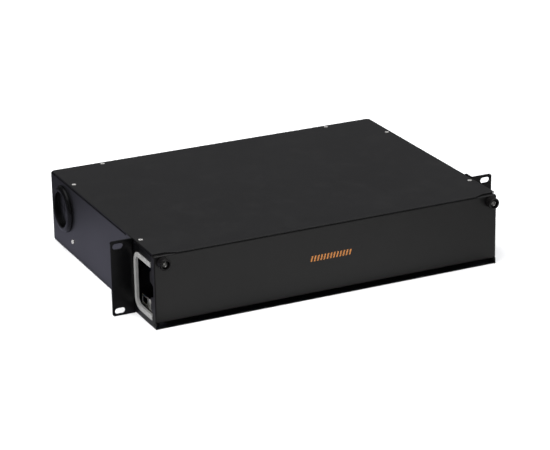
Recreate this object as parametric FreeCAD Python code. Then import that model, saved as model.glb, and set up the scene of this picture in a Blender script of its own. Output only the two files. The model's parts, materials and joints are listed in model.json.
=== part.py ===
import FreeCAD, Part
import math
import os

# Rack-mount fibre distribution enclosure, two height units.
# Millimetres. X runs across the rack, +Y to the rear, +Z up.
# The origin is on the base face, centred, in the plane of the rack rails (rear face of the ears).

V = FreeCAD.Vector

# ---- driving dimensions -------------------------------------------------------------------
sheet = 1.2                     # steel sheet of the case
half_width = 214.0              # outer face of a side wall
cover_face = -60.0              # front face of the cover
rear_face = 257.7               # outer face of the rear panel
case_top = 87.4                 # top face of the roof
roof_half = 213.7               # half width of the roof
roof_rear = 256.3               # rear edge of the roof
gap = 0.2                       # clearance between sheets that only stand beside each other

wall_front = cover_face + 9.5   # front edge of the side walls
foot_front = cover_face         # front edge of the walls below the cover's side tabs
floor_front = cover_face + 1.6  # front edge of the floor
roof_under = case_top - sheet
wall_inner = half_width - sheet
wall_rear = rear_face - sheet
flange_width = 12.0
wall_fold = 2.6                 # outer radius of the fold along the top of a wall
relief_y = 246.5                # where the wall's top fold stops short of the rear corner
relief_z = 84.2

cover_bottom = 7.3
cover_corner = 9.0              # lower edge of the cover at its two bottom corners
cover_top = 85.5
cover_return = 9.2              # depth of the cover's top return
cover_tab_upper = 53.0          # lower edge of the upper side tab
cover_tab_lower = 34.0          # upper edge of the lower side tab
tab_depth = 9.0                 # depth of a side tab in front of the wall
tab_reach = 13.2                # its depth in front of the cord opening
tab_narrow = 4.5
tab_steps = (17.0, 67.0)        # heights between which the deeper part stands

hinge_lug = 3.0                 # radius of the wall round the hinge pin
hinge_y = foot_front + hinge_lug
hinge_z = 5.6
hinge_pin_radius = 1.5
hinge_running_gap = 0.05
lobe_radius = 2.8

ear_reach = 241.3               # half of the 482.6 mm front width of a 19-inch device
ear_thick = 2.0
ear_height = 88.1
ear_leg = 14.0
slot_half_span = 232.55         # half of 465.1 mm
slot_centre_z = 43.5
slot_half_rise = 38.1           # half of 76.2 mm
slot_length = 12.4
slot_radius = 3.5
ear_screw_y = 8.0
ear_screw_heights = (14.0, 43.5, 73.0)

notch_rear = -7.5               # cord opening in the side wall
notch_bottom = 13.0
notch_top = 71.5
notch_radius = 9.0
trim_cover = 4.6                # how far the trim's legs reach over the sheet
trim_web = 1.0
trim_leg = 0.9

entry_y = 218.0                 # round cable entry in the side wall
entry_z = 51.0
entry_hole = 24.4
entry_bore = 21.2
entry_flange = 28.3
side_screw_y = 191.5
side_screw_z = 18.0
clamp_x = -194.0
shelf_top = side_screw_z + 9
cable_radius = 6.5

screw_x = 204.7                 # thumbscrew axis
screw_z = 78.5
knob_radius = 6.75
knob_length = 10.85
dish_depth = 4.2
knob_gap = 0.15
stud_radius = 1.6
stud_tip = -46.0
insert_bore = 2.1
ring_front = cover_face + sheet + 5.1
ring_thick = 0.8
neck_radius = 1.25

frame_front = 20.0              # adapter bulkhead
plate_thick = 1.5
plate_pitch = 138.0
plate_half = 66.0
plate_bottom = 7.5
plate_top = 79.5
window_half = 54.0
window_bottom = 12.0
window_top = 75.0
latch_offset = 60.0
adapter_columns = (-39.0, -13.0, 13.0, 39.0)
adapter_rows = (26.0, 61.0)
guides_at = ((-198.0, 3.4), (-120.0, -10.0), (120.0, -10.0), (198.0, 3.4))
adapter_wide = 9.4
adapter_tall = 25.8
port_offset = 6.4

tray_y = 145.0                  # centre of the splice trays and spools
tray_half_x = 100.0
tray_half_y = 60.0
tray_height = 12.0
tray_base = 5.2
tray_step = 12.2
tray_post_x = 88.0
tray_post_y = 48.0
spool_x = 155.0

wall_screws_at = ((-207.9, -8.5), (207.9, -8.5), (-207.9, 195.8), (207.9, 195.8))
edge_screws_at = ((-150.3, 250.6), (150.3, 250.6))
rear_screws_at = tuple((side * 206.5, z) for side in (-1, 1) for z in (15.0, 43.5, 72.0))
rivets_at = (-180.0, -60.0, 60.0, 180.0)
knockout_x = 150.0              # spare cable entries in the rear panel
earth_x = 150.0
earth_y = 228.0


# ---- drawing helpers ----------------------------------------------------------------------
def block(x0, x1, y0, y1, z0, z1):
    return Part.makeBox(x1 - x0, y1 - y0, z1 - z0, V(x0, y0, z0))


def rod(axis, a, b, radius, start, end):
    """Cylinder along x, y or z; a and b are the two other coordinates in X, Y, Z order."""
    base = {"x": V(start, a, b), "y": V(a, start, b), "z": V(a, b, start)}[axis]
    direction = {"x": V(1, 0, 0), "y": V(0, 1, 0), "z": V(0, 0, 1)}[axis]
    return Part.makeCylinder(radius, end - start, base, direction)


def cone(axis, a, b, radius_start, radius_end, start, end):
    base = {"x": V(start, a, b), "y": V(a, start, b), "z": V(a, b, start)}[axis]
    direction = {"x": V(1, 0, 0), "y": V(0, 1, 0), "z": V(0, 0, 1)}[axis]
    return Part.makeCone(radius_start, radius_end, end - start, base, direction)


def place(axis, a, b, level):
    return {"x": V(level, a, b), "y": V(a, level, b), "z": V(a, b, level)}[axis]


def outline(corners, axis, level):
    """Closed wire through corners (a, b, radius) in the plane that faces the axis."""
    edges = []
    count = len(corners)
    joints = []
    for index in range(count):
        a, b, radius = corners[index]
        here = V(a, b, 0)
        before = V(corners[index - 1][0], corners[index - 1][1], 0) - here
        after = V(corners[(index + 1) % count][0], corners[(index + 1) % count][1], 0) - here
        if radius == 0:
            joints.append((here, here, here))
            continue
        half = before.getAngle(after) / 2
        reach = radius / math.tan(half)
        before.normalize()
        after.normalize()
        middle = before + after
        middle.normalize()
        centre = here + middle * (radius / math.sin(half))
        joints.append((here + before * reach, centre - middle * radius, here + after * reach))
    for index in range(count):
        start, mid, end = [place(axis, p.x, p.y, level) for p in joints[index]]
        following = place(axis, joints[(index + 1) % count][0].x, joints[(index + 1) % count][0].y, level)
        if (end - start).Length > 1e-6:
            edges.append(Part.Arc(start, mid, end).toShape())
        if (following - end).Length > 1e-6:
            edges.append(Part.LineSegment(end, following).toShape())
    return Part.Wire(Part.__sortEdges__(edges))


def plate(corners, axis, start, end):
    """Flat piece with rounded corners, from start to end along the axis."""
    face = Part.Face(outline(corners, axis, start))
    direction = place(axis, 0, 0, end - start)
    return face.extrude(direction)


def rectangle(a0, a1, b0, b1, radius=0):
    return [(a0, b0, radius), (a1, b0, radius), (a1, b1, radius), (a0, b1, radius)]


def spun(profile, axis, a, b):
    """Solid of revolution; profile is (radius, position along the axis)."""
    points = [place(axis, a + radius, b, along) for radius, along in profile]
    face = Part.Face(Part.makePolygon(points + points[:1]))
    return face.revolve(place(axis, a, b, 0), place(axis, 0, 0, 1), 360)


def along(shape, direction, test):
    """Straight edges of a shape that run in one direction and pass the test on their middle."""
    picked = []
    for edge in shape.Edges:
        if edge.Curve.TypeId != "Part::GeomLine":
            continue
        if abs(abs(edge.Curve.Direction.dot(direction)) - 1) < 1e-6 and test(edge.CenterOfMass):
            picked.append(edge)
    return picked


def mirrored(shape):
    return shape.mirror(V(0, 0, 0), V(1, 0, 0))


def joined(shapes):
    return shapes[0].multiFuse(shapes[1:]).removeSplitter() if len(shapes) > 1 else shapes[0]


def save(name, shapes):
    """One STEP file per node; a group of equal pieces is a compound of separate solids."""
    if not isinstance(shapes, (list, tuple)):
        shapes = [shapes]
    solids = [solid for shape in shapes for solid in shape.Solids]
    for solid in solids:
        if not solid.isValid() or solid.Volume <= 0:
            raise ValueError("bad solid in " + name)
    result = solids[0] if len(solids) == 1 else Part.makeCompound(solids)
    result.exportStep("parts/" + name + ".step")


# ---- case ---------------------------------------------------------------------------------
def side_wall():
    """Left wall as a flat blank with the cord opening and the cable entry cut out."""
    corners = [
        (foot_front, 0, 0), (wall_rear, 0, 0), (wall_rear, roof_under, 0), (wall_front, roof_under, 0),
        (wall_front, notch_top, 0), (notch_rear, notch_top, notch_radius),
        (notch_rear, notch_bottom, notch_radius), (wall_front, notch_bottom, 0),
        (wall_front, hinge_z + hinge_lug, 0), (foot_front, hinge_z + hinge_lug, hinge_lug),
    ]
    wall = plate(corners, "x", -half_width, -wall_inner)
    holes = [rod("x", entry_y, entry_z, entry_hole, -half_width - 1, -wall_inner + 1)]
    holes.append(rod("x", side_screw_y, side_screw_z, 1.5, -half_width - 1, -wall_inner + 1))
    holes.append(rod("x", hinge_y, hinge_z, hinge_pin_radius, -half_width - 1, -wall_inner + 1))
    for z in ear_screw_heights:
        holes.append(rod("x", ear_screw_y, z, 2, -half_width - 1, -wall_inner + 1))
    return wall.cut(joined(holes))


def wall_flanges():
    outer = -wall_inner - 0.1
    inner = -half_width + flange_width
    top = block(outer, inner, wall_front, wall_rear, roof_under - sheet, roof_under)
    rear = block(outer, inner + 1, wall_rear - sheet, wall_rear, 4, 80)
    return [top, rear]


def make_chassis():
    """Floor and side walls, folded from one sheet."""
    floor = block(-wall_inner - 0.1, wall_inner + 0.1, floor_front, wall_rear, 0, sheet)
    wall = side_wall()
    wall = wall.makeFillet(1.1, along(wall, V(0, 1, 0), lambda c: c.x < -half_width + 0.1 and c.z < 0.1))
    left = joined([wall] + wall_flanges())
    outside = along(left, V(0, 1, 0), lambda c: c.x < -half_width + 0.1 and c.z > roof_under - 0.1)
    left = left.makeFillet(wall_fold, outside)
    under_flange = roof_under - sheet
    inside = along(left, V(0, 1, 0), lambda c: abs(c.x + wall_inner) < 0.1 and abs(c.z - under_flange) < 0.1)
    left = left.makeFillet(wall_fold - sheet, inside)
    corner = block(-half_width - 1, -half_width + 8, relief_y, wall_rear + 1, relief_z, roof_under + 1)
    relief = rod("x", relief_y, relief_z + 0.6, 1.2, -half_width - 1, -half_width + 8)
    left = left.cut(joined([corner, relief]))
    body = joined([floor, left, mirrored(left)])
    holes = []
    for x, y in wall_screws_at:
        holes.append(rod("z", x, y, 1.5, roof_under - 3, roof_under + 1))
    for x, z in rear_screws_at:
        holes.append(rod("y", x, z, 1.5, wall_rear - 3, wall_rear + 1))
    for x, y, radius in floor_fixings():
        holes.append(rod("z", x, y, radius, -1, sheet + 1))
    return body.cut(joined(holes))


def floor_fixings():
    """Holes in the floor: tray posts, spool screws, bulkhead rivets and the earth stud."""
    places = [(sx * tray_post_x, tray_y + sy * tray_post_y, 2.0) for sx in (-1, 1) for sy in (-1, 1)]
    places += [(side * spool_x, tray_y, 2.0) for side in (-1, 1)]
    places += [(x, frame_front - 7, 1.6) for x in rivets_at]
    places.append((earth_x, earth_y, 3.0))
    return places


def make_rear_panel():
    edge = half_width - 0.25
    panel = plate([
        (-edge, 0, 1.5), (edge, 0, 1.5), (edge, roof_under, wall_fold), (-edge, roof_under, wall_fold),
    ], "y", wall_rear, rear_face)
    top = block(-200, 200, wall_rear - flange_width, rear_face - 0.6, roof_under - sheet, roof_under)
    foot = block(-196, 196, wall_rear - flange_width, wall_rear + 0.1, sheet, 2 * sheet)
    body = joined([panel, top, foot])
    cuts = [rod("y", x, z, 1.6, wall_rear - 1, rear_face + 1) for x, z in rear_screws_at]
    cuts += [rod("z", x, y, 1.5, roof_under - 3, roof_under + 1) for x, y in edge_screws_at]
    for side in (-1, 1):
        x = side * knockout_x
        ring = rod("y", x, entry_z, entry_hole, rear_face - 0.4, rear_face + 1)
        ring = ring.cut(rod("y", x, entry_z, entry_hole - 0.7, rear_face - 1, rear_face + 2))
        tab = block(x - 2, x + 2, rear_face - 1, rear_face + 2, entry_z, entry_z + entry_hole + 1)
        cuts.append(ring.cut(tab))
    return body.cut(joined(cuts))


def make_roof():
    """Flat lid; its front edge steps back over the corners of the cover."""
    step_back = cover_face + 4.85
    step_front = cover_face - 0.2
    right = [
        (187, step_front, 3), (199, step_back, 3), (roof_half, step_back, 1), (roof_half, roof_rear, 4.0),
    ]
    left = [(-x, y, radius) for x, y, radius in reversed(right)]
    lid = plate(right + left, "z", roof_under, case_top)
    lid = lid.makeFillet(0.5, [edge for edge in lid.Edges if edge.BoundBox.ZMin > case_top - 0.01])
    cuts = []
    for x, y in wall_screws_at + edge_screws_at:
        cuts.append(rod("z", x, y, 1.6, roof_under - 1, case_top + 1))
        cuts.append(cone("z", x, y, 1.6, 2.6, case_top - 1.1, case_top + 0.05))
    return lid.cut(joined(cuts))


def make_roof_screws():
    """Countersunk screws, heads a hair proud of the roof, with a cross recess."""
    screws = []
    for x, y in wall_screws_at + edge_screws_at:
        head = cone("z", x, y, 1.5, 2.5, case_top - 1.05, case_top + 0.1)
        cap = rod("z", x, y, 2.5, case_top + 0.1, case_top + 0.25)
        shank = rod("z", x, y, 1.5, case_top - 7, case_top - 1.05)
        screw = joined([head, cap, shank])
        cross = joined([
            block(x - 1.3, x + 1.3, y - 0.3, y + 0.3, case_top - 0.7, case_top + 1),
            block(x - 0.3, x + 0.3, y - 1.3, y + 1.3, case_top - 0.7, case_top + 1),
        ])
        screws.append(screw.cut(cross))
    return screws


def make_rear_screws():
    screws = []
    for x, z in rear_screws_at:
        head = spun([(0, rear_face), (2.9, rear_face), (2.7, rear_face + 1.2), (1.8, rear_face + 1.7),
                     (0, rear_face + 1.8)], "y", x, z)
        shank = rod("y", x, z, 1.5, wall_rear - 4, rear_face)
        cross = joined([
            block(x - 1.5, x + 1.5, rear_face + 0.9, rear_face + 3, z - 0.3, z + 0.3),
            block(x - 0.3, x + 0.3, rear_face + 0.9, rear_face + 3, z - 1.5, z + 1.5),
        ])
        screws.append(joined([head, shank]).cut(cross))
    return screws


# ---- rack ears ----------------------------------------------------------------------------
def make_left_ear():
    """Angle bracket: slotted face outside the wall and a leg screwed to it."""
    face = plate([
        (-ear_reach, 0, 2.5), (-half_width, 0, 0),
        (-half_width, ear_height, 0), (-ear_reach, ear_height, 2.5),
    ], "y", -ear_thick, 0)
    leg = block(-half_width - ear_thick, -half_width, -ear_thick, ear_leg, 0, ear_height)
    ear = joined([face, leg])
    inner_bend = along(ear, V(0, 0, 1), lambda c: abs(c.x + half_width + ear_thick) < 0.1 and abs(c.y) < 0.1)
    ear = ear.makeFillet(1.0, inner_bend)
    outer_bend = along(ear, V(0, 0, 1), lambda c: abs(c.x + half_width) < 0.1 and abs(c.y + ear_thick) < 0.1)
    ear = ear.makeFillet(1.5, outer_bend)
    leg_corners = along(ear, V(1, 0, 0), lambda c: abs(c.y - ear_leg) < 0.1)
    ear = ear.makeFillet(2.0, leg_corners)
    half_flat = slot_length / 2 - slot_radius
    cuts = []
    for rise in (-slot_half_rise, slot_half_rise):
        z = slot_centre_z + rise
        for side in (-half_flat, half_flat):
            cuts.append(rod("y", -slot_half_span + side, z, slot_radius, -ear_thick - 1, 1))
        cuts.append(block(-slot_half_span - half_flat, -slot_half_span + half_flat, -ear_thick - 1, 1,
                          z - slot_radius, z + slot_radius))
    for z in ear_screw_heights:
        cuts.append(rod("x", ear_screw_y, z, 2.1, -half_width - ear_thick - 1, -half_width + 1))
    return ear.cut(joined(cuts))


def make_ear_screws():
    screws = []
    outer = -half_width - ear_thick
    for z in ear_screw_heights:
        head = spun([(0, outer), (3.8, outer), (3.5, outer - 1.6), (2.4, outer - 2.3), (0, outer - 2.4)],
                    "x", ear_screw_y, z)
        shank = rod("x", ear_screw_y, z, 2, outer, -wall_inner + 4)
        slot = joined([
            block(outer - 3, outer - 1.4, ear_screw_y - 2, ear_screw_y + 2, z - 0.4, z + 0.4),
            block(outer - 3, outer - 1.4, ear_screw_y - 0.4, ear_screw_y + 0.4, z - 2, z + 2),
        ])
        screw = joined([head, shank]).cut(slot)
        screws += [screw, mirrored(screw)]
    return screws


def hexagon(axis, a, b, across_flats, start, end, bore):
    radius = across_flats / math.sqrt(3)
    corners = []
    for step in range(6):
        angle = math.radians(60 * step)
        corners.append((a + radius * math.cos(angle), b + radius * math.sin(angle), 0))
    return plate(corners, axis, start, end).cut(rod(axis, a, b, bore, start - 1, end + 1))


def make_ear_nuts():
    nuts = []
    for z in ear_screw_heights:
        nut = hexagon("x", ear_screw_y, z, 7.0, -wall_inner, -wall_inner + 3.2, 2)
        nuts += [nut, mirrored(nut)]
    return nuts


# ---- side openings ------------------------------------------------------------------------
def notch_shape(offset, x0, x1):
    """The cord opening grown by an offset, running out through the front edge of the wall."""
    rear = notch_rear + offset
    low = notch_bottom - offset
    high = notch_top + offset
    radius = notch_radius + offset
    front = wall_front - 20
    corners = [(front, low, 0), (rear, low, radius), (rear, high, radius), (front, high, 0)]
    return plate(corners, "x", x0, x1)


def make_left_trim():
    """Push-on U profile round the cord opening."""
    outer = -half_width - trim_leg
    inner = -wall_inner + trim_leg
    body = notch_shape(trim_cover, outer, inner).cut(notch_shape(-trim_web, outer - 1, inner + 1))
    groove = notch_shape(trim_cover + 1, -half_width, -wall_inner).cut(notch_shape(0, outer, inner))
    front = block(outer - 1, inner + 1, wall_front - 40, wall_front, -10, 100)
    return body.cut(joined([groove, front]))


def make_left_grommet():
    """Rubber bush of the round cable entry: domed flange, sheet groove and a membrane with a cross slit."""
    face = -half_width
    back = -wall_inner
    profile = [
        (0, face + 0.6), (entry_bore, face + 0.6), (entry_bore, face - 3.8), (entry_bore + 0.6, face - 4.7),
        (entry_bore + 1.7, face - 5.0), (entry_flange - 4.0, face - 5.0), (entry_flange - 2.2, face - 4.4),
        (entry_flange - 0.8, face - 3.0), (entry_flange, face - 1.2), (entry_flange, face),
        (entry_hole, face), (entry_hole, back), (entry_flange - 1, back), (entry_flange - 2, back + 2.6),
        (entry_bore + 1, back + 3.0), (entry_bore, back + 2.4), (entry_bore, face + 2.2), (0, face + 2.2),
    ]
    bush = spun(profile, "x", entry_y, entry_z)
    slit = 17.0
    half = 0.55
    cross = joined([
        block(face, face + 3, entry_y - half, entry_y + half, entry_z - slit, entry_z + slit),
        block(face, face + 3, entry_y - slit, entry_y + slit, entry_z - half, entry_z + half),
    ])
    cross.rotate(V(face, entry_y, entry_z), V(1, 0, 0), 12)
    return bush.cut(cross)


# ---- cable clamping -----------------------------------------------------------------------
def make_left_clamp_bracket():
    """Angle behind the cable entry that the cable and its strength member are clamped to."""
    y0 = side_screw_y - 10
    y1 = side_screw_y + 10
    leg = plate(rectangle(y0, y1, side_screw_z - 9, shelf_top, 2), "x", -wall_inner, -wall_inner + 1.5)
    shelf = plate(rectangle(-wall_inner, -177, y0, y1, 2), "z", shelf_top - 1.5, shelf_top)
    cuts = [rod("x", side_screw_y, side_screw_z, 1.5, -wall_inner - 1, -wall_inner + 3)]
    for dx in (-11, 11):
        cuts.append(rod("z", clamp_x + dx, side_screw_y, 1.5, shelf_top - 3, shelf_top + 1))
    return joined([leg, shelf]).cut(joined(cuts))


def make_side_screws():
    outer = -half_width
    head = spun([(0, outer), (2.7, outer), (2.5, outer - 1.1), (1.7, outer - 1.7), (0, outer - 1.8)],
                "x", side_screw_y, side_screw_z)
    shank = rod("x", side_screw_y, side_screw_z, 1.5, outer, -wall_inner + 5)
    cross = []
    for dy, dz in ((1.5, 0.3), (0.3, 1.5)):
        cross.append(block(outer - 3, outer - 0.9, side_screw_y - dy, side_screw_y + dy,
                           side_screw_z - dz, side_screw_z + dz))
    screw = joined([head, shank]).cut(joined(cross))
    return [screw, mirrored(screw)]


def make_cable_clamps():
    """Saddles that bridge the cable on the two shelves."""
    y0 = side_screw_y - 6
    y1 = side_screw_y + 6
    top = shelf_top
    foot = block(clamp_x - 14, clamp_x + 14, y0, y1, top, top + 1.2)
    arch = rod("y", clamp_x, top + cable_radius - 3, cable_radius + 1.2, y0, y1)
    arch = arch.cut(block(clamp_x - 20, clamp_x + 20, y0 - 1, y1 + 1, top - 20, top))
    tunnel = rod("y", clamp_x, top + cable_radius - 3, cable_radius, y0 - 1, y1 + 1)
    holes = [rod("z", clamp_x + dx, side_screw_y, 1.6, top - 1, top + 4) for dx in (-11, 11)]
    clamp = joined([foot, arch]).cut(joined([tunnel] + holes))
    return [clamp, mirrored(clamp)]


def make_clamp_screws():
    screws = []
    top = shelf_top + 1.2
    for dx in (-11, 11):
        x = clamp_x + dx
        head = rod("z", x, side_screw_y, 2.6, top, top + 1.8)
        shank = rod("z", x, side_screw_y, 1.5, shelf_top - 4, top)
        slot = block(x - 3, x + 3, side_screw_y - 0.4, side_screw_y + 0.4, top + 1.0, top + 3)
        screw = joined([head, shank]).cut(slot)
        screws += [screw, mirrored(screw)]
    return screws


# ---- adapter bulkhead ---------------------------------------------------------------------
def plate_centres():
    return (-plate_pitch, 0.0, plate_pitch)


def make_adapter_frame():
    """Bulkhead across the case with three windows for the adapter plates."""
    edge = wall_inner - gap
    top = roof_under - sheet - 1.0
    rear = frame_front + sheet
    wall = block(-edge, edge, frame_front, rear, sheet, top)
    foot = block(-188, 188, frame_front - 14, rear, sheet, 2 * sheet)
    head = block(-edge, edge, frame_front, rear + 10, top - sheet, top)
    left = block(-edge, -edge + sheet, frame_front, rear + 10, 6, top)
    frame = joined([wall, foot, head, left, mirrored(left)])
    cuts = []
    for x in plate_centres():
        window = plate(rectangle(x - window_half, x + window_half, window_bottom, window_top, 3),
                       "y", frame_front - 1, rear + 1)
        cuts.append(window)
        for dx in (-latch_offset, latch_offset):
            cuts.append(rod("y", x + dx, slot_centre_z, 2.7, frame_front - 1, rear + 1))
    for x in rivets_at:
        cuts.append(rod("z", x, frame_front - 7, 1.6, 0, 4))
    return frame.cut(joined(cuts))


def make_frame_rivets():
    rivets = []
    for x in rivets_at:
        y = frame_front - 7
        shank = rod("z", x, y, 1.6, 0.1, 2 * sheet)
        seat = 2 * sheet
        head = spun([(0, seat), (3.0, seat), (2.4, seat + 0.8), (0, seat + 1.1)], "z", x, y)
        rivets.append(joined([shank, head]))
    return rivets


def make_adapter_plate(x):
    front = frame_front - plate_thick
    face = rectangle(x - plate_half, x + plate_half, plate_bottom, plate_top, 2)
    body = plate(face, "y", front, frame_front)
    wide = adapter_wide / 2
    tall = adapter_tall / 2
    cuts = []
    for dx in adapter_columns:
        for z in adapter_rows:
            cuts.append(block(x + dx - wide, x + dx + wide, front - 1, frame_front + 1, z - tall, z + tall))
    for dx in (-latch_offset, latch_offset):
        cuts.append(rod("y", x + dx, slot_centre_z, 2.7, front - 1, frame_front + 1))
    return body.cut(joined(cuts))


def adapter_places():
    return [(x + dx, z) for x in plate_centres() for dx in adapter_columns for z in adapter_rows]


def make_adapters():
    """Duplex couplers: a flange on the plate, a barrel with two ports in front and the tail behind."""
    front = frame_front - plate_thick
    adapters = []
    wide = adapter_wide / 2
    tall = adapter_tall / 2
    for x, z in adapter_places():
        barrel = block(x - wide, x + wide, front - 9, frame_front + 12, z - tall, z + tall)
        flange = block(x - wide, x + wide, front - 2, front, z - 16.5, z + 16.5)
        body = joined([barrel, flange])
        ports = []
        for centre in (z - port_offset, z + port_offset):
            ports.append(block(x - 3.6, x + 3.6, front - 10, front - 1.5, centre - 4.6, centre + 4.6))
            ports.append(block(x + 3.6, x + 4.1, front - 10, front - 4, centre - 1.2, centre + 1.2))
        adapters.append(body.cut(joined(ports)))
    return adapters


def make_dust_caps():
    front = frame_front - plate_thick - 9
    caps = []
    for x, z in adapter_places():
        for centre in (z - port_offset, z + port_offset):
            plug = block(x - 3.5, x + 3.5, front, front + 6, centre - 4.5, centre + 4.5)
            rim = rectangle(x - 4.2, x + 4.2, centre - 5.2, centre + 5.2, 1.2)
            grip = rectangle(x - 2.4, x + 2.4, centre - 3.4, centre + 3.4, 1.0)
            head = plate(rim, "y", front - 1.6, front)
            caps.append(joined([plug, head, plate(grip, "y", front - 6, front - 1.6)]))
    return caps


def latch_places():
    return [x + dx for x in plate_centres() for dx in (-latch_offset, latch_offset)]


def make_latch_bushes():
    """Nylon bushes snapped through the plates into the bulkhead."""
    front = frame_front - plate_thick
    bushes = []
    for x in latch_places():
        flange = rod("y", x, slot_centre_z, 4.6, front - 1.4, front)
        sleeve = rod("y", x, slot_centre_z, 2.7, front, frame_front + sheet + 3)
        bore = rod("y", x, slot_centre_z, 1.5, front - 3, frame_front + 8)
        bushes.append(joined([flange, sleeve]).cut(bore))
    return bushes


def make_latch_plunger(x):
    """Push-pull pin of one latch; pulled 4 mm out it lets the bush collapse."""
    face = frame_front - plate_thick - 1.4
    head = spun([(0, face - 0.1), (3.4, face - 0.1), (3.4, face - 1.2), (2.6, face - 2.2), (2.6, face - 3.2),
                 (3.4, face - 4.2), (3.2, face - 5.2), (0, face - 5.6)], "y", x, slot_centre_z)
    pin = rod("y", x, slot_centre_z, 1.43, face - 0.1, frame_front + sheet + 4.5)
    return joined([head, pin])


# ---- front compartment --------------------------------------------------------------------
def make_cord_guides():
    """Nylon guides on the floor: a thin upright with a window for the patch cords and a springy finger."""
    guides = []
    for x, y in guides_at:
        side = math.copysign(1, x)
        foot_x = sorted((x - side * 6.6, x + side * 0.7))
        base = plate(rectangle(foot_x[0], foot_x[1], y - 14.4, y - 2, 0.6), "z", sheet, sheet + 1.4)
        rail = plate(rectangle(y - 14.4, y + 14.4, sheet, sheet + 2.4, 0.6), "x", x - 0.7, x + 0.7)
        upright = plate(rectangle(y - 14.4, y + 14.4, sheet + 1.4, sheet + 11.6, 1.0), "x", x - 0.7, x + 0.7)
        window = plate(rectangle(y - 1.2, y + 13.2, sheet + 2.4, sheet + 10.5, 1.2), "x", x - 2, x + 2)
        slit = block(x - 2, x + 2, y - 12.4, y, sheet + 3.2, sheet + 4.2)
        mouth = block(x - 2, x + 2, y + 10.4, y + 11.6, sheet + 9, sheet + 13)
        screw_hole = rod("z", x - side * 3.7, y - 8, 1.2, sheet - 1, sheet + 3)
        guides.append(joined([base, rail, upright]).cut(joined([window, slit, mouth, screw_hole])))
    return guides


def make_front_sill():
    """Angle welded on the floor behind the gap under the cover; it stiffens the open front edge."""
    y0 = floor_front + 12.4
    foot = block(-196, 196, y0, y0 + 10, sheet, 2 * sheet)
    upright = block(-196, 196, y0, y0 + sheet, sheet, sheet + 6.5)
    sill = joined([foot, upright])
    return sill.makeFillet(0.8, along(sill, V(1, 0, 0), lambda c: c.y < y0 + 0.1 and c.z < sheet + 0.1))


def make_left_corner_bracket():
    """Angle welded inside the wall; it carries the threaded insert for the thumbscrew."""
    low = notch_top + trim_cover + 0.7
    top = roof_under - wall_fold
    inner = -wall_inner
    face = plate([
        (inner, low, 0), (inner + 1.8, low, 0), (inner + 1.8, notch_top + 0.5, 0), (-196, notch_top + 0.5, 2),
        (-196, top, 2), (inner, top, 0),
    ], "y", wall_front, wall_front + sheet)
    leg = block(inner, inner + sheet, wall_front, wall_front + 17, low, top)
    hole = rod("y", -screw_x, screw_z, 2.8, wall_front - 1, wall_front + 3)
    return joined([face, leg]).cut(hole)


def make_thread_inserts():
    """Clinched inserts; the thread is drawn at its largest diameter."""
    face = wall_front + sheet
    body = rod("y", -screw_x, screw_z, 4.0, face, face + 3)
    spigot = rod("y", -screw_x, screw_z, 2.8, wall_front, face)
    bore = rod("y", -screw_x, screw_z, insert_bore, wall_front - 1, face + 4)
    insert = joined([body, spigot]).cut(bore)
    return [insert, mirrored(insert)]


# ---- splice compartment -------------------------------------------------------------------
def tray_posts():
    return [(sx * tray_post_x, tray_y + sy * tray_post_y) for sx in (-1, 1) for sy in (-1, 1)]


def make_splice_tray(level):
    """Shallow tray with four post bosses, two bend rings and fibre entries at its ends."""
    x0, x1 = -tray_half_x, tray_half_x
    y0, y1 = tray_y - tray_half_y, tray_y + tray_half_y
    wall = 1.6
    floor_top = level + wall
    rim = level + tray_height
    tub = plate(rectangle(x0, x1, y0, y1, 18), "z", level, rim)
    inside = rectangle(x0 + wall, x1 - wall, y0 + wall, y1 - wall, 18 - wall)
    tub = tub.cut(plate(inside, "z", floor_top, rim + 1))
    cuts = []
    for side in (-1, 1):
        for dy in (-30, 30):
            low, high = sorted((side * (tray_half_x - 3), side * (tray_half_x + 3)))
            cuts.append(block(low, high, tray_y + dy - 6, tray_y + dy + 6, floor_top + 1, rim + 1))
    tub = tub.cut(joined(cuts))
    added = []
    for side in (-1, 1):
        ring = rod("z", side * 58, tray_y, 30, floor_top - 0.2, level + 9)
        ring = ring.cut(rod("z", side * 58, tray_y, 28.4, floor_top - 1, level + 10))
        low, high = sorted((0, side * 46))
        added.append(ring.cut(block(low, high, tray_y - 40, tray_y + 40, level, level + 20)))
    for x, y in tray_posts():
        added.append(rod("z", x, y, 4, floor_top - 0.2, rim))
    holes = [rod("z", x, y, 2.2, level - 1, rim + 1) for x, y in tray_posts()]
    return joined([tub] + added).cut(joined(holes))


def make_splice_holders():
    """Combs that grip the splice sleeves, two in each tray."""
    combs = []
    for index in range(2):
        floor = tray_base + index * tray_step + 1.6
        for y in (tray_y - 13, tray_y + 13):
            comb = block(-24, 24, y - 11, y + 11, floor, floor + 7)
            slots = []
            for step in range(6):
                x = -20 + step * 8
                slots.append(block(x - 1.6, x + 1.6, y - 12, y + 12, floor + 2.5, floor + 8))
            combs.append(comb.cut(joined(slots)))
    return combs


def make_tray_lid():
    level = tray_base + tray_step + tray_height
    shape = rectangle(-tray_half_x, tray_half_x, tray_y - tray_half_y, tray_y + tray_half_y, 18)
    lid = plate(shape, "z", level, level + 1.6)
    holes = [rod("z", x, y, 2.2, level - 1, level + 3) for x, y in tray_posts()]
    return lid.cut(joined(holes))


def make_tray_posts():
    return [rod("z", x, y, 2, 0.1, 38) for x, y in tray_posts()]


def make_tray_spacers():
    spacers = []
    for x, y in tray_posts():
        tube = rod("z", x, y, 4, sheet, tray_base)
        spacers.append(tube.cut(rod("z", x, y, 2, 0, 10)))
    return spacers


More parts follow.
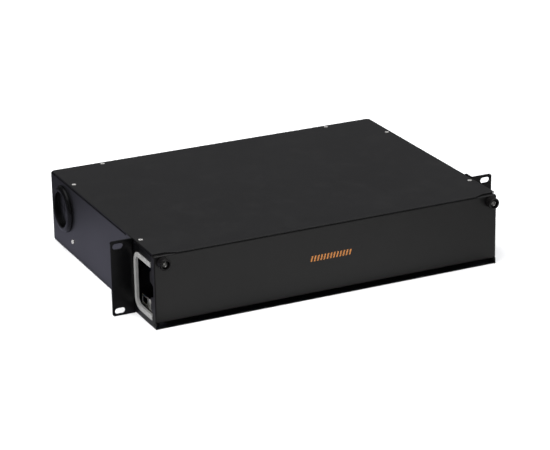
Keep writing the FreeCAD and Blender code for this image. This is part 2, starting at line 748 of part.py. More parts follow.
def make_tray_nuts():
    level = tray_base + tray_step + tray_height + 1.6
    nuts = []
    for x, y in tray_posts():
        nut = rod("z", x, y, 5.5, level, level + 5)
        grips = []
        for step in range(12):
            angle = math.radians(30 * step)
            dx = 6 * math.cos(angle)
            dy = 6 * math.sin(angle)
            grips.append(rod("z", x + dx, y + dy, 0.9, level - 1, level + 6))
        nuts.append(nut.cut(joined(grips + [rod("z", x, y, 2, level - 1, level + 6)])))
    return nuts


def make_fibre_spool(side):
    """Storage spool that keeps the fibre above its smallest bend."""
    x = side * spool_x
    base = rod("z", x, tray_y, 38, sheet, sheet + 1.8)
    drum = rod("z", x, tray_y, 30, sheet + 1.8, sheet + 24)
    drum = drum.cut(rod("z", x, tray_y, 28, sheet + 1.8, sheet + 25))
    tabs = []
    for step in range(4):
        angle = 45 + 90 * step
        tab = block(x + 28, x + 38, tray_y - 6, tray_y + 6, sheet + 22, sheet + 23.6)
        tab.rotate(V(x, tray_y, 0), V(0, 0, 1), angle)
        tabs.append(tab)
    return joined([base, drum] + tabs).cut(rod("z", x, tray_y, 2, 0, 10))


def make_spool_screws():
    screws = []
    for side in (-1, 1):
        x = side * spool_x
        head = rod("z", x, tray_y, 3.8, sheet + 1.8, sheet + 4)
        shank = rod("z", x, tray_y, 2, 0.1, sheet + 1.8)
        slot = block(x - 5, x + 5, tray_y - 0.5, tray_y + 0.5, sheet + 3, sheet + 5)
        screws.append(joined([head, shank]).cut(slot))
    return screws


def make_earth_stud():
    return rod("z", earth_x, earth_y, 3, 0.1, 18)


def make_earth_nuts():
    washer = rod("z", earth_x, earth_y, 6, sheet, sheet + 1.6).cut(rod("z", earth_x, earth_y, 3, 0, 5))
    lower = hexagon("z", earth_x, earth_y, 10, sheet + 1.6, sheet + 6.6, 3)
    upper = hexagon("z", earth_x, earth_y, 10, sheet + 8.2, sheet + 13.2, 3)
    return [washer, lower, upper]


# ---- front cover --------------------------------------------------------------------------
def make_front_cover():
    """Folded cover: face, top return and side tabs that narrow in the middle."""
    back = cover_face + tab_reach
    shell = block(-half_width, half_width, cover_face, back, cover_bottom, cover_top)
    shell = shell.makeFillet(2.5, along(shell, V(0, 1, 0), lambda c: True))
    front = [edge for edge in shell.Edges if abs(edge.CenterOfMass.y - cover_face) < 0.01]
    shell = shell.makeFillet(1.5, [edge for edge in front if edge.CenterOfMass.z > cover_bottom + 3])
    hollow = block(-wall_inner, wall_inner, cover_face + sheet, back + 1, cover_bottom - 5, cover_top - sheet)
    hollow = hollow.makeFillet(1.3, along(hollow, V(0, 1, 0), lambda c: c.z > 50))
    shell = shell.cut(hollow)
    tab_rear = cover_face + tab_depth
    deep_rear = cover_face + tab_reach
    narrow_rear = cover_face + tab_narrow
    low, high = tab_steps
    behind = plate([
        (back + 10, cover_bottom - 1, 0), (tab_rear, cover_bottom - 1, 0), (tab_rear, low, 0),
        (deep_rear, low + 3, 1), (deep_rear, cover_tab_lower, 1), (narrow_rear, cover_tab_lower + 3, 2),
        (narrow_rear, cover_tab_upper - 3, 2), (deep_rear, cover_tab_upper, 1), (deep_rear, high - 3, 1),
        (tab_rear, high, 0), (tab_rear, cover_top + 1, 0), (back + 10, cover_top + 1, 0),
    ], "x", -half_width - 1, -half_width + 3)
    screw_hole = rod("y", -screw_x, screw_z, 2.6, cover_face - 1, cover_face + 3)
    corner = block(-half_width - 1, -210.5, cover_face - 1, back + 1, cover_bottom - 1, cover_corner)
    left = joined([behind, screw_hole, corner])
    over = block(-half_width - 1, half_width + 1, cover_face + cover_return, back + 1, 75, cover_top + 1)
    return shell.cut(joined([left, mirrored(left), over]))


def make_hinge_brackets():
    """Small angles welded behind the cover; their lobes turn on the pins in the side walls."""
    rear = cover_face + sheet
    ear_outer = -wall_inner + 0.9
    step = cover_corner - 0.4
    ear = plate([
        (rear, 24, 0), (rear + 2.6, 24, 1), (hinge_y + lobe_radius, 12, 2),
        (hinge_y + lobe_radius, hinge_z - lobe_radius, lobe_radius - 0.1),
        (hinge_y - lobe_radius, hinge_z - lobe_radius, lobe_radius - 0.1),
        (hinge_y - lobe_radius, step, 0.3), (rear, step, 0),
    ], "x", ear_outer, ear_outer + sheet)
    base = plate(rectangle(ear_outer, -196, 12, 24, 1), "y", rear, rear + sheet)
    hole = rod("x", hinge_y, hinge_z, hinge_pin_radius + hinge_running_gap, ear_outer - 1, ear_outer + 3)
    bracket = joined([ear, base]).cut(hole)
    return [bracket, mirrored(bracket)]


def make_hinge_pins():
    """Pins pressed into the walls, flush outside, with a retaining head inside."""
    shank = rod("x", hinge_y, hinge_z, hinge_pin_radius, -half_width + 0.05, -210.4)
    head = rod("x", hinge_y, hinge_z, 2.2, -210.4, -209.7)
    pin = joined([shank, head])
    return [pin, mirrored(pin)]


# ---- thumbscrews --------------------------------------------------------------------------
def make_left_knob():
    """Knurled head with a dished front; a steel core sits in the dish."""
    back = cover_face - knob_gap
    front = back - knob_length
    body = spun([
        (0, back), (knob_radius - 1.2, back), (knob_radius - 1.2, back - 1.6), (knob_radius, back - 2.2),
        (knob_radius, front + 0.9), (knob_radius - 0.9, front), (0, front),
    ], "y", -screw_x, screw_z)
    ridges = []
    ridge_count = 24
    for step in range(ridge_count):
        angle = math.radians(360 / ridge_count * step)
        x = -screw_x + (knob_radius + 0.25) * math.cos(angle)
        z = screw_z + (knob_radius + 0.25) * math.sin(angle)
        ridges.append(rod("y", x, z, 0.55, front - 1, back - 2.2))
    dish = cone("y", -screw_x, screw_z, 5.0, 4.2, front - 0.01, front + dish_depth)
    bore = rod("y", -screw_x, screw_z, stud_radius, front - 1, back + 1)
    return body.cut(joined(ridges + [dish, bore]))


def make_left_stud():
    """Steel core of the thumbscrew, with a hollow cone for a driver; the thread is drawn at its smallest."""
    seat = cover_face - knob_gap - knob_length + dish_depth
    head = spun([
        (0, seat), (3.1, seat), (3.1, seat - 2.0), (2.8, seat - 2.2), (1.2, seat - 0.6), (0, seat - 0.6),
    ], "y", -screw_x, screw_z)
    shank = rod("y", -screw_x, screw_z, stud_radius, seat, stud_tip - 1)
    tip = cone("y", -screw_x, screw_z, stud_radius, 1.0, stud_tip - 1, stud_tip)
    core = joined([head, shank, tip])
    neck = rod("y", -screw_x, screw_z, 4, ring_front - gap, ring_front + ring_thick + gap)
    neck = neck.cut(rod("y", -screw_x, screw_z, neck_radius, ring_front - 1, ring_front + 3))
    cross = joined([
        block(-screw_x - 2.0, -screw_x + 2.0, seat - 2.4, seat - 0.2, screw_z - 0.35, screw_z + 0.35),
        block(-screw_x - 0.35, -screw_x + 0.35, seat - 2.4, seat - 0.2, screw_z - 2.0, screw_z + 2.0),
    ])
    return core.cut(joined([neck, cross]))


def make_left_ring():
    """Retaining ring that keeps the loosened thumbscrew in the cover."""
    ring = rod("y", -screw_x, screw_z, 3.7, ring_front, ring_front + ring_thick)
    bore = rod("y", -screw_x, screw_z, neck_radius + 0.05, ring_front - 1, ring_front + 2)
    mouth = block(-screw_x - 1.0, -screw_x + 1.0, ring_front - 1, ring_front + 2, screw_z - 5, screw_z - 1)
    return ring.cut(joined([bore, mouth]))


# ---- write every node ---------------------------------------------------------------------
def main():
    os.makedirs("parts", exist_ok=True)
    save("chassis", make_chassis())
    save("rear_panel", make_rear_panel())
    save("roof", make_roof())
    save("roof_screws", make_roof_screws())
    save("rear_screws", make_rear_screws())
    save("ear_screws", make_ear_screws())
    save("ear_nuts", make_ear_nuts())
    save("side_screws", make_side_screws())
    save("cable_clamps", make_cable_clamps())
    save("clamp_screws", make_clamp_screws())
    save("adapter_frame", make_adapter_frame())
    save("frame_rivets", make_frame_rivets())
    save("adapters", make_adapters())
    save("dust_caps", make_dust_caps())
    save("latch_bushes", make_latch_bushes())
    save("cord_guides", make_cord_guides())
    save("front_sill", make_front_sill())
    save("thread_inserts", make_thread_inserts())
    save("splice_tray_lower", make_splice_tray(tray_base))
    save("splice_tray_upper", make_splice_tray(tray_base + tray_step))
    save("splice_holders", make_splice_holders())
    save("tray_lid", make_tray_lid())
    save("tray_posts", make_tray_posts())
    save("tray_spacers", make_tray_spacers())
    save("tray_nuts", make_tray_nuts())
    save("spool_screws", make_spool_screws())
    save("earth_stud", make_earth_stud())
    save("earth_nuts", make_earth_nuts())
    save("front_cover", make_front_cover())
    save("hinge_brackets", make_hinge_brackets())
    save("hinge_pins", make_hinge_pins())
    paired = {
        "rack_ear": make_left_ear(), "edge_trim": make_left_trim(), "cable_grommet": make_left_grommet(),
        "clamp_bracket": make_left_clamp_bracket(), "corner_bracket": make_left_corner_bracket(),
        "screw_knob": make_left_knob(), "screw_stud": make_left_stud(), "screw_ring": make_left_ring(),
    }
    for name, shape in paired.items():
        save("left_" + name, shape)
        save("right_" + name, mirrored(shape))
    for side, name in ((-1, "left"), (1, "right")):
        save(name + "_fibre_spool", make_fibre_spool(side))
    for x, name in zip(plate_centres(), ("left", "centre", "right")):
        save("adapter_plate_" + name, make_adapter_plate(x))
    for number, x in enumerate(latch_places(), 1):
        save("latch_plunger_%d" % number, make_latch_plunger(x))


main()
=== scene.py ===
import json
import math

import bmesh
import bpy
from mathutils import Matrix, Vector


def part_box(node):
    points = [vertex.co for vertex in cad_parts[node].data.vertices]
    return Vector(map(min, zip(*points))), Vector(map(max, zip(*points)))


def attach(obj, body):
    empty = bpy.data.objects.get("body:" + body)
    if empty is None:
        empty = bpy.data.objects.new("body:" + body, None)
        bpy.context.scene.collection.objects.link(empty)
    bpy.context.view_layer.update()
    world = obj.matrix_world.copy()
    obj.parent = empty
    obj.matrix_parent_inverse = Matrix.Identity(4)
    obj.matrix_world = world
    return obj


# Looks of a two-unit rack fibre enclosure: materials for the CAD nodes, printed and moulded details,
# a studio and the camera. Metres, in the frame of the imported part.

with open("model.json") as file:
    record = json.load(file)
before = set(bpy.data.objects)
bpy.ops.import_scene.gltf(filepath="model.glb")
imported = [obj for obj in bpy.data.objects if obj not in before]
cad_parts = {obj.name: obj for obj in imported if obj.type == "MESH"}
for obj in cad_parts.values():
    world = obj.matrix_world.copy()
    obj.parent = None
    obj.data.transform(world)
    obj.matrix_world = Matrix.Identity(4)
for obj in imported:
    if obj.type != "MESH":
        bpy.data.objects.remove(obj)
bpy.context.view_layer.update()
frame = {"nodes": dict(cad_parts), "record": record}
nodes = frame["nodes"]

MM = 0.001

# ---- camera ---------------------------------------------------------------------------------
CAMERA_PLACE = (-1.0715, -2.1845, 0.9785)
CAMERA_AZIMUTH = math.radians(-25.263)
CAMERA_ELEVATION = math.radians(20.561)
CAMERA_ROLL = math.radians(-0.922)
CAMERA_LENS = 149.31
SENSOR_WIDTH = 36.0
CLIP_NEAR = 0.05
CLIP_FAR = 100.0


def make_camera():
    data = bpy.data.cameras.new("camera")
    data.lens = CAMERA_LENS
    data.sensor_width = SENSOR_WIDTH
    data.clip_start = CLIP_NEAR
    data.clip_end = CLIP_FAR
    camera = bpy.data.objects.new("camera", data)
    bpy.context.scene.collection.objects.link(camera)
    flat = math.cos(CAMERA_ELEVATION)
    back = Vector((math.sin(CAMERA_AZIMUTH) * flat, -math.cos(CAMERA_AZIMUTH) * flat,
                   math.sin(CAMERA_ELEVATION)))
    side = Vector((0, 0, 1)).cross(back).normalized()
    top = back.cross(side)
    right = side * math.cos(CAMERA_ROLL) + top * math.sin(CAMERA_ROLL)
    up = top * math.cos(CAMERA_ROLL) - side * math.sin(CAMERA_ROLL)
    turned = Matrix((right, up, back)).transposed().to_4x4()
    turned.translation = CAMERA_PLACE
    camera.matrix_world = turned
    bpy.context.scene.camera = camera


# ---- materials ------------------------------------------------------------------------------
class Surface:
    """A procedural material on a Principled shader, with short calls for its texture nodes."""

    def __init__(self, name, color, roughness, metallic=0.0, specular=0.5):
        self.material = bpy.data.materials.new(name)
        self.material.use_nodes = True
        self.tree = self.material.node_tree
        self.shader = next(n for n in self.tree.nodes if n.type == "BSDF_PRINCIPLED")
        self.shader.inputs["Base Color"].default_value = (*color, 1)
        self.shader.inputs["Roughness"].default_value = roughness
        self.shader.inputs["Metallic"].default_value = metallic
        self.shader.inputs["Specular IOR Level"].default_value = specular
        self.coords = self.tree.nodes.new("ShaderNodeTexCoord").outputs["Object"]

    def node(self, kind, inputs=(), **settings):
        made = self.tree.nodes.new(kind)
        for key, value in settings.items():
            setattr(made, key, value)
        for key, value in dict(inputs).items():
            if isinstance(value, bpy.types.NodeSocket):
                self.tree.links.new(value, made.inputs[key])
            else:
                made.inputs[key].default_value = value
        return made

    def noise(self, size, detail=2.0, stretch=(1, 1, 1), rough=0.55, shift=0.0):
        """Noise whose blobs are about size metres; a stretch above 1 makes them longer on that axis."""
        mapped = self.node("ShaderNodeMapping", {"Vector": self.coords, "Location": (shift, shift, shift),
                                                 "Scale": [1 / s for s in stretch]})
        return self.node("ShaderNodeTexNoise", {"Vector": mapped.outputs[0], "Scale": 1 / size,
                                                "Detail": detail, "Roughness": rough}).outputs["Fac"]

    def cells(self, size):
        return self.node("ShaderNodeTexVoronoi", {"Vector": self.coords, "Scale": 1 / size},
                         feature="F1").outputs["Distance"]

    def remap(self, value, low, high, start=0.0, end=1.0):
        return self.node("ShaderNodeMapRange", {"Value": value, "From Min": low, "From Max": high,
                                                "To Min": start, "To Max": end}).outputs["Result"]

    def mix(self, amount, a, b):
        made = self.node("ShaderNodeMix", {"Factor": amount}, data_type="RGBA")
        for socket, value in ((made.inputs[6], a), (made.inputs[7], b)):
            if isinstance(value, bpy.types.NodeSocket):
                self.tree.links.new(value, socket)
            else:
                socket.default_value = (*value, 1)
        return made.outputs[2]

    def math(self, operation, a, b):
        return self.node("ShaderNodeMath", {0: a, 1: b}, operation=operation).outputs[0]

    def upward(self):
        """1 where the surface faces up, 0 where it faces sideways or down."""
        normal = self.node("ShaderNodeTexCoord").outputs["Normal"]
        return self.remap(self.node("ShaderNodeSeparateXYZ", {0: normal}).outputs[2], 0.3, 1.0)

    def paint(self, color):
        self.tree.links.new(color, self.shader.inputs["Base Color"])

    def gloss(self, value, low, high, start, end):
        self.tree.links.new(self.remap(value, low, high, start, end), self.shader.inputs["Roughness"])

    def bump(self, *layers):
        """Stacks bump layers given as (height, strength, depth in metres)."""
        normal = None
        for height, strength, depth in layers:
            inputs = {"Height": height, "Strength": strength, "Distance": depth}
            if normal is not None:
                inputs["Normal"] = normal
            normal = self.node("ShaderNodeBump", inputs).outputs["Normal"]
        self.tree.links.new(normal, self.shader.inputs["Normal"])


def scaled(color, factor):
    return tuple(c * factor for c in color)


def powder_coat(name, color, roughness, specular):
    """Fine-textured black powder coat: grain, orange peel, uneven gloss and a trace of settled dust."""
    s = Surface(name, color, roughness, specular=specular)
    grain = s.noise(0.5 * MM, detail=3.0, rough=0.65)
    peel = s.noise(3.2 * MM, detail=1.5)
    patch = s.noise(90 * MM, detail=3.0)
    speck = s.remap(s.cells(1.4 * MM), 0.10, 0.02)
    body = s.mix(s.remap(patch, 0.35, 0.65), scaled(color, 0.88), scaled(color, 1.14))
    body = s.mix(s.math("MULTIPLY", speck, 0.22), body, scaled(color, 3.0))
    dust = s.math("MULTIPLY", s.remap(s.noise(24 * MM, detail=6.0, rough=0.7), 0.5, 0.85), s.upward())
    body = s.mix(s.math("MULTIPLY", dust, 0.009), body, (0.4, 0.39, 0.37))
    s.paint(body)
    uneven = s.math("ADD", s.math("MULTIPLY", grain, 0.7), s.math("MULTIPLY", patch, 0.3))
    s.gloss(uneven, 0.3, 0.7, roughness - 0.06, roughness + 0.08)
    s.bump((peel, 0.18, 0.12 * MM), (grain, 0.30, 0.05 * MM))
    return s.material


def plated_steel(name, color, roughness, metallic=1.0):
    """Zinc-plated steel: cloudy passivation, fine tool marks and a little tarnish."""
    s = Surface(name, color, roughness, metallic=metallic)
    cloud = s.noise(1.6 * MM, detail=3.0)
    marks = s.noise(0.12 * MM, detail=2.0, stretch=(1, 1, 5))
    tarnish = s.remap(s.noise(2.4 * MM, detail=5.0, rough=0.7, shift=0.3), 0.52, 0.78)
    body = s.mix(s.remap(cloud, 0.3, 0.7), scaled(color, 0.86), scaled(color, 1.06))
    s.paint(s.mix(s.math("MULTIPLY", tarnish, 0.35), body, (0.42, 0.38, 0.30)))
    s.gloss(marks, 0.3, 0.7, roughness - 0.07, roughness + 0.12)
    s.bump((marks, 0.35, 0.02 * MM), (cloud, 0.15, 0.03 * MM))
    return s.material


def moulded(name, color, roughness, grain_size=0.35 * MM, specular=0.5, shade=0.1, translucent=0.0):
    """Injection-moulded plastic: sparked grain, flow marks and slight shade changes."""
    s = Surface(name, color, roughness, specular=specular)
    grain = s.noise(grain_size, detail=2.0)
    flow = s.noise(7 * MM, detail=2.0, stretch=(1, 1, 3))
    s.paint(s.mix(s.remap(flow, 0.3, 0.7), scaled(color, 1 - shade), scaled(color, 1 + shade * 0.6)))
    s.gloss(grain, 0.3, 0.7, roughness - 0.05, roughness + 0.07)
    s.bump((flow, 0.08, 0.1 * MM), (grain, 0.22, 0.03 * MM))
    if translucent:
        s.shader.inputs["Subsurface Weight"].default_value = translucent
        s.shader.inputs["Subsurface Radius"].default_value = (1.0, 0.9, 0.7)
        s.shader.inputs["Subsurface Scale"].default_value = 1.2 * MM
    return s.material


def rubber(name, color, roughness, dust_amount, specular=0.35):
    """Matt elastomer: fine pitting, mould lines and dust caught in the texture."""
    s = Surface(name, color, roughness, specular=specular)
    pits = s.cells(0.45 * MM)
    grain = s.noise(0.25 * MM, detail=2.0)
    dust = s.remap(s.noise(6 * MM, detail=5.0, rough=0.7), 0.45, 0.8)
    cloud = s.remap(s.noise(11 * MM, detail=3.0, shift=0.7), 0.35, 0.65)
    body = s.mix(cloud, scaled(color, 0.9), scaled(color, 1.1))
    s.paint(s.mix(s.math("MULTIPLY", dust, dust_amount), body, (0.45, 0.44, 0.42)))
    s.gloss(grain, 0.3, 0.7, roughness - 0.06, roughness + 0.06)
    s.bump((pits, 0.12, 0.05 * MM), (grain, 0.25, 0.04 * MM))
    return s.material


def clear_plastic(name):
    """Clear polycarbonate with faint haze and scratches."""
    s = Surface(name, (0.93, 0.95, 0.96), 0.08)
    haze = s.noise(14 * MM, detail=4.0)
    scratch = s.noise(0.3 * MM, detail=1.0, stretch=(18, 1, 1))
    s.paint(s.mix(s.remap(haze, 0.3, 0.7), (0.90, 0.93, 0.95), (0.97, 0.98, 0.98)))
    s.gloss(scratch, 0.45, 0.7, 0.05, 0.22)
    s.bump((scratch, 0.08, 0.01 * MM))
    s.shader.inputs["Transmission Weight"].default_value = 0.9
    s.shader.inputs["IOR"].default_value = 1.58
    return s.material


def ink(name, color):
    """Screen-printed ink: dense, a little uneven, with the coat's grain showing through."""
    s = Surface(name, color, 0.42, specular=0.4)
    grain = s.noise(0.45 * MM, detail=3.0)
    density = s.remap(s.noise(1.2 * MM, detail=4.0, rough=0.7), 0.25, 0.6)
    s.paint(s.mix(density, scaled(color, 0.72), color))
    s.gloss(grain, 0.3, 0.7, 0.36, 0.5)
    s.bump((grain, 0.3, 0.03 * MM))
    return s.material


COAT = powder_coat("coat_case", (0.0022, 0.0022, 0.0025), 0.32, 0.50)
COAT_ROOF = powder_coat("coat_roof", (0.0038, 0.0038, 0.0040), 0.36, 0.50)
COAT_COVER = powder_coat("coat_cover", (0.0040, 0.0038, 0.0038), 0.34, 0.50)
# The ears have the case's powder coat, made darker and less glossy as painted shade where the case shades
# them.
SHADED_EAR_COAT = powder_coat("coat_ears_painted_shade", (0.0012, 0.0012, 0.0014), 0.26, 0.28)
COAT_INSIDE = powder_coat("coat_inside", (0.0036, 0.0036, 0.0038), 0.40, 0.45)
HINGE = powder_coat("hinge_black", (0.0015, 0.0015, 0.0015), 0.50, 0.15)
ZINC = plated_steel("zinc_screws", (0.55, 0.54, 0.525), 0.40, 0.5)
STEEL = plated_steel("steel_turned", (0.38, 0.375, 0.36), 0.22, 0.95)
BRASS = plated_steel("brass_plain", (0.78, 0.60, 0.30), 0.28)
KNOB = moulded("knob_black", (0.0025, 0.0022, 0.0022), 0.30, specular=0.42)
TRIM = rubber("trim_grey", (0.185, 0.184, 0.18), 0.55, 0.04)
RUBBER = rubber("rubber_black", (0.0015, 0.0015, 0.0017), 0.24, 0.001, 0.26)
LATCH = moulded("latch_black", (0.006, 0.006, 0.006), 0.45, specular=0.35)
NYLON = moulded("nylon_natural", (0.86, 0.85, 0.80), 0.38, translucent=0.1)
CAP = moulded("cap_white", (0.78, 0.79, 0.80), 0.30, translucent=0.3)
ADAPTER = moulded("adapter_blue", (0.018, 0.12, 0.46), 0.36)
TRAY = moulded("tray_grey", (0.52, 0.53, 0.54), 0.40)
HOLDER = moulded("holder_white", (0.82, 0.82, 0.79), 0.42, translucent=0.15)
LID = clear_plastic("lid_clear")
ORANGE = ink("ink_orange", (0.40, 0.15, 0.03))

SIDES = ("left_", "right_")
PAIRED_FINISHES = {
    "rack_ear": SHADED_EAR_COAT,
    "screw_knob": KNOB,
    "screw_stud": STEEL,
    "edge_trim": TRIM,
    "cable_grommet": RUBBER,
    "corner_bracket": COAT_INSIDE,
    "clamp_bracket": COAT_INSIDE,
}
FINISHES = {
    "roof": COAT_ROOF,
    "front_cover": COAT_COVER,
    "adapter_frame": COAT_INSIDE,
    "adapter_plate_left": COAT_INSIDE,
    "adapter_plate_centre": COAT_INSIDE,
    "adapter_plate_right": COAT_INSIDE,
    "adapters": ADAPTER,
    "dust_caps": CAP,
    "splice_holders": HOLDER,
    "tray_lid": LID,
    "earth_stud": BRASS,
    "earth_nuts": BRASS,
    **{side + name: finish for side in SIDES for name, finish in PAIRED_FINISHES.items()},
}
SLOT_FINISHES = {
    "painted_steel": COAT,
    "zinc_steel": ZINC,
    "nylon_white": NYLON,
    "latch_black": LATCH,
    "hinge_black": HINGE,
    "tray_grey": TRAY,
}


def finish_nodes():
    """Gives each CAD node its own finish, or the finish of its slot."""
    slots = {row["node"]: row["material_slot"] for row in frame["record"]["subparts"]}
    for name, piece in nodes.items():
        piece.data.materials.clear()
        piece.data.materials.append(FINISHES[name] if name in FINISHES else SLOT_FINISHES[slots[name]])


# ---- pieces added to the CAD ----------------------------------------------------------------
MARK_CENTRE_X = 0.0
MARK_CENTRE_Z = 49.0 * MM
MARK_BARS = 13
MARK_PITCH = 4.0 * MM
BAR_WIDE = 1.9 * MM
BAR_TALL = 6.6 * MM
BAR_LEAN = 1.8 * MM
INK_BEHIND_FACE = 0.002 * MM
INK_DEPTH = 0.06 * MM


def mesh_object(name, shape, material):
    """Turns a bmesh into an object of its own, with one material."""
    data = bpy.data.meshes.new(name)
    shape.to_mesh(data)
    shape.free()
    data.materials.append(material)
    made = bpy.data.objects.new(name, data)
    bpy.context.scene.collection.objects.link(made)
    return made


def new_piece(name, mesh_maker, material, body):
    shape = bmesh.new()
    mesh_maker(shape)
    bmesh.ops.recalc_face_normals(shape, faces=shape.faces)
    piece = mesh_object(name, shape, material)
    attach(piece, body)


def prism(shape, outline, depth):
    """Closed prism from an outline of points, pushed along depth."""
    low = [shape.verts.new(Vector(p)) for p in outline]
    high = [shape.verts.new(Vector(p) + Vector(depth)) for p in outline]
    shape.faces.new(low)
    shape.faces.new(reversed(high))
    for i in range(len(outline)):
        j = (i + 1) % len(outline)
        shape.faces.new((low[j], low[i], high[i], high[j]))


def cover_mark(shape):
    """A generic row of slanted bars printed on the cover."""
    ink_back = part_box("front_cover")[0].y + INK_BEHIND_FACE
    bottom = MARK_CENTRE_Z - BAR_TALL / 2
    top = MARK_CENTRE_Z + BAR_TALL / 2
    for index in range(MARK_BARS):
        x = MARK_CENTRE_X + (index - (MARK_BARS - 1) / 2) * MARK_PITCH
        low_x = x - BAR_LEAN / 2
        high_x = x + BAR_LEAN / 2
        corners = [(low_x - BAR_WIDE / 2, bottom), (low_x + BAR_WIDE / 2, bottom),
                   (high_x + BAR_WIDE / 2, top), (high_x - BAR_WIDE / 2, top)]
        prism(shape, [(cx, ink_back, cz) for cx, cz in corners], (0, -INK_DEPTH, 0))


def make_pieces():
    new_piece("cover_mark", cover_mark, ORANGE, "cover")


# ---- studio ---------------------------------------------------------------------------------
# Seen directly, and as soft light, the floor is plain and pale, and the world is pale at the horizon and
# darker above it. In reflections both have another brightness, tuned and fixed to places in the
# frame, and the lamps don't show. A stretch is where a fade starts and ends: in metres on the floor, and
# in parts of a unit direction for the world.
HORIZON_TONE = (0.90, 0.91, 0.93, 1)
HORIZON_UP_TO = 0.14
SKY_TONE = (0.16, 0.165, 0.18, 1)
SKY_FROM = 0.30

WORLD_LEFT_TO_RIGHT = (-0.30, 0.25)
WORLD_FRONT_TO_REAR = (-0.2, 0.4)
WORLD_SIDE_TO_TOP = (0.70, 0.95)
WORLD_TINT = (1.0, 1.0, 1.02)
BEHIND_LEFT = 0.03
BEHIND_RIGHT = 0.14
IN_FRONT = 0.08
OVERHEAD = 1.0

FLOOR_HALF_SIZE = 9.0
FLOOR_HEIGHT = -0.0003
PAPER = (0.86, 0.86, 0.86)
PAPER_DARK = (0.855, 0.856, 0.86)
PAPER_LIGHT = (0.87, 0.87, 0.872)
# The numbers from here to FLOOR_TINT set the painted reflection of the floor, with painted shade beside
# and behind the case; the UNDER stretches bound a painted shadow under it.
FRONT_TO_SIDE = (-0.06, 0.06)
MIDDLE_TO_RIGHT = (0.05, 0.34)
LEFT_TO_MIDDLE = (-0.26, -0.18)
SIDE_TO_REAR = (0.22, 0.43)
REAR_TO_FAR = (0.60, 0.80)
BEHIND_ACROSS = (-0.20, -0.10)
BEHIND_ALONG = (0.24, 0.30)
UNDER_LEFT = (-0.222, -0.207)
UNDER_RIGHT = (0.207, 0.222)
UNDER_FRONT = (-0.092, -0.070)
UNDER_REAR = (0.255, 0.270)
FLOOR_FRONT = 0.60
FLOOR_RIGHT = 0.40
FLOOR_LEFT = 0.03
FLOOR_SIDE = 0.39
FLOOR_REAR = 0.11
FLOOR_FAR_SHARE = 0.2
FLOOR_BEHIND = 0.35
FLOOR_TINT = (1.0, 0.99, 1.25)

# name: place, target, size, power
LAMPS = {
    "soft_top": ((-0.3, -0.2, 2.6), (0, 0, 0), (3.6, 3.6), 165),
    "soft_left": ((-2.4, -0.5, 0.9), (-0.2, 0, 0.03), (1.4, 1.0), 60),
    "soft_front": ((0.5, -3.0, 1.9), (0, 0, 0.05), (2.0, 1.2), 16),
}


def area_light(name, place, target, size, power):
    data = bpy.data.lights.new(name, "AREA")
    data.shape = "RECTANGLE"
    data.size, data.size_y = size
    data.energy = power
    lamp = bpy.data.objects.new(name, data)
    bpy.context.scene.collection.objects.link(lamp)
    lamp.location = place
    lamp.rotation_mode = "QUATERNION"
    lamp.rotation_quaternion = (Vector(target) - Vector(place)).to_track_quat("-Z", "Y")
    lamp.visible_glossy = False


class Brightness:
    """A brightness that changes with place or direction, put together from fades along the axes."""

    def __init__(self, tree, vector):
        self.tree = tree
        split = tree.nodes.new("ShaderNodeSeparateXYZ")
        tree.links.new(vector, split.inputs[0])
        self.across, self.along, self.height = split.outputs

    def fade(self, value, stretch, start, end):
        made = self.tree.nodes.new("ShaderNodeMapRange")
        made.interpolation_type = "SMOOTHSTEP"
        for key, number in zip(("From Min", "From Max", "To Min", "To Max"), (*stretch, start, end)):
            made.inputs[key].default_value = number
        self.tree.links.new(value, made.inputs["Value"])
        return made.outputs["Result"]

    def combine(self, operation, first, *others):
        """Combines sockets or numbers from left to right."""
        total = first
        for other in others:
            made = self.tree.nodes.new("ShaderNodeMath")
            made.operation = operation
            for socket, value in zip(made.inputs, (total, other)):
                if isinstance(value, bpy.types.NodeSocket):
                    self.tree.links.new(value, socket)
                else:
                    socket.default_value = value
            total = made.outputs[0]
        return total

    def add(self, *values):
        return self.combine("ADD", *values)

    def multiply(self, *values):
        return self.combine("MULTIPLY", *values)

    def inverse(self, value):
        return self.combine("SUBTRACT", 1.0, value)

    def color(self, *channels):
        made = self.tree.nodes.new("ShaderNodeCombineColor")
        for socket, channel in zip(made.inputs, channels):
            self.tree.links.new(channel, socket)
        return made.outputs[0]


def is_reflection(tree):
    """1 for rays that left a surface as a reflection, 0 for what is seen directly and for soft light."""
    return tree.nodes.new("ShaderNodeLightPath").outputs["Is Glossy Ray"]


def make_world():
    """Pale around the horizon for soft light; dim surroundings in reflections, darkest behind-left."""
    world = bpy.data.worlds.new("studio")
    bpy.context.scene.world = world
    world.use_nodes = True
    tree = world.node_tree
    background = next(n for n in tree.nodes if n.type == "BACKGROUND")
    sky = Brightness(tree, tree.nodes.new("ShaderNodeTexCoord").outputs["Generated"])
    ramp = tree.nodes.new("ShaderNodeValToRGB")
    tree.links.new(sky.height, ramp.inputs[0])
    horizon, above = ramp.color_ramp.elements
    horizon.position, horizon.color = HORIZON_UP_TO, HORIZON_TONE
    above.position, above.color = SKY_FROM, SKY_TONE

    sideways = sky.fade(sky.across, WORLD_LEFT_TO_RIGHT, BEHIND_LEFT, BEHIND_RIGHT)
    ahead = sky.multiply(sky.fade(sky.along, WORLD_FRONT_TO_REAR, 1.0, 0.0), IN_FRONT)
    overhead = sky.fade(sky.height, WORLD_SIDE_TO_TOP, 0.0, OVERHEAD)
    tone = sky.add(sideways, ahead, overhead)
    reflected = sky.color(*(sky.multiply(tone, share) for share in WORLD_TINT))

    chosen = tree.nodes.new("ShaderNodeMix")
    chosen.data_type = "RGBA"
    tree.links.new(is_reflection(tree), chosen.inputs[0])
    tree.links.new(ramp.outputs[0], chosen.inputs[6])
    tree.links.new(reflected, chosen.inputs[7])
    tree.links.new(chosen.outputs[2], background.inputs[0])
    background.inputs[1].default_value = 1.0


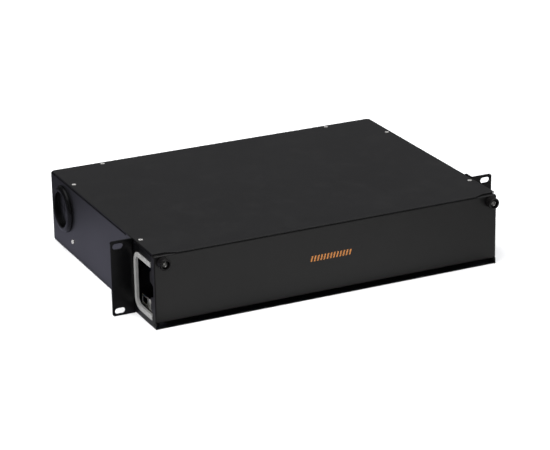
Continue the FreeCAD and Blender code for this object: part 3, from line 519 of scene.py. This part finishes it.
def painted_floor_reflection(tree, coords):
    """Painted reflection of the floor: bright in front, with painted shade beside and behind the case, a
    painted shadow under it, and darker far behind.
    """
    at = Brightness(tree, coords)
    front = at.fade(at.along, FRONT_TO_SIDE, 1.0, 0.0)
    left = at.fade(at.across, LEFT_TO_MIDDLE, FLOOR_LEFT, 1.0)
    right = at.fade(at.across, MIDDLE_TO_RIGHT, FLOOR_FRONT, FLOOR_RIGHT)
    rear = at.multiply(at.fade(at.along, SIDE_TO_REAR, FLOOR_SIDE, FLOOR_REAR),
                       at.fade(at.along, REAR_TO_FAR, 1.0, FLOOR_FAR_SHARE))
    behind = at.multiply(at.fade(at.across, BEHIND_ACROSS, 0.0, FLOOR_BEHIND),
                         at.fade(at.along, BEHIND_ALONG, 0.0, 1.0))
    # A painted shadow under the case: the floor's reflection goes dark there.
    under = at.multiply(at.fade(at.along, UNDER_FRONT, 0.0, 1.0), at.fade(at.across, UNDER_LEFT, 0.0, 1.0),
                        at.fade(at.along, UNDER_REAR, 1.0, 0.0), at.fade(at.across, UNDER_RIGHT, 1.0, 0.0))
    clear = at.inverse(under)
    warm_part = at.multiply(front, at.multiply(left, right), clear)
    # Beside and behind the case the reflection is dimmer and bluer: painted shade.
    cool_part = at.multiply(at.inverse(front), at.add(rear, behind), clear)
    return at.color(*(at.add(warm_part, at.multiply(cool_part, share)) for share in FLOOR_TINT))


def make_floor():
    """Plain pale paper; in reflections it shows a painted reflection with its own brightness."""
    paper = Surface("floor_paper", PAPER, 0.75, specular=0.1)
    shade = paper.remap(paper.noise(0.6, detail=2.0), 0.3, 0.7)
    paper.paint(paper.mix(shade, PAPER_DARK, PAPER_LIGHT))
    tree = paper.tree
    # The emission is seen only in reflections: a painted reflection that glows though the floor is no
    # lamp.
    painted_reflection_glow = tree.nodes.new("ShaderNodeEmission")
    tree.links.new(painted_floor_reflection(tree, paper.coords), painted_reflection_glow.inputs["Color"])
    chosen = tree.nodes.new("ShaderNodeMixShader")
    tree.links.new(is_reflection(tree), chosen.inputs[0])
    tree.links.new(paper.shader.outputs[0], chosen.inputs[1])
    tree.links.new(painted_reflection_glow.outputs[0], chosen.inputs[2])
    output = next(n for n in tree.nodes if n.type == "OUTPUT_MATERIAL")
    tree.links.new(chosen.outputs[0], output.inputs["Surface"])

    shape = bmesh.new()
    bmesh.ops.create_grid(shape, x_segments=1, y_segments=1, size=FLOOR_HALF_SIZE)
    floor = mesh_object("floor", shape, paper.material)
    floor.location.z = FLOOR_HEIGHT


def make_studio():
    bpy.context.scene.view_settings.view_transform = "Standard"
    make_world()
    make_floor()
    for name, settings in LAMPS.items():
        area_light(name, *settings)


make_camera()
finish_nodes()
make_pieces()
make_studio()
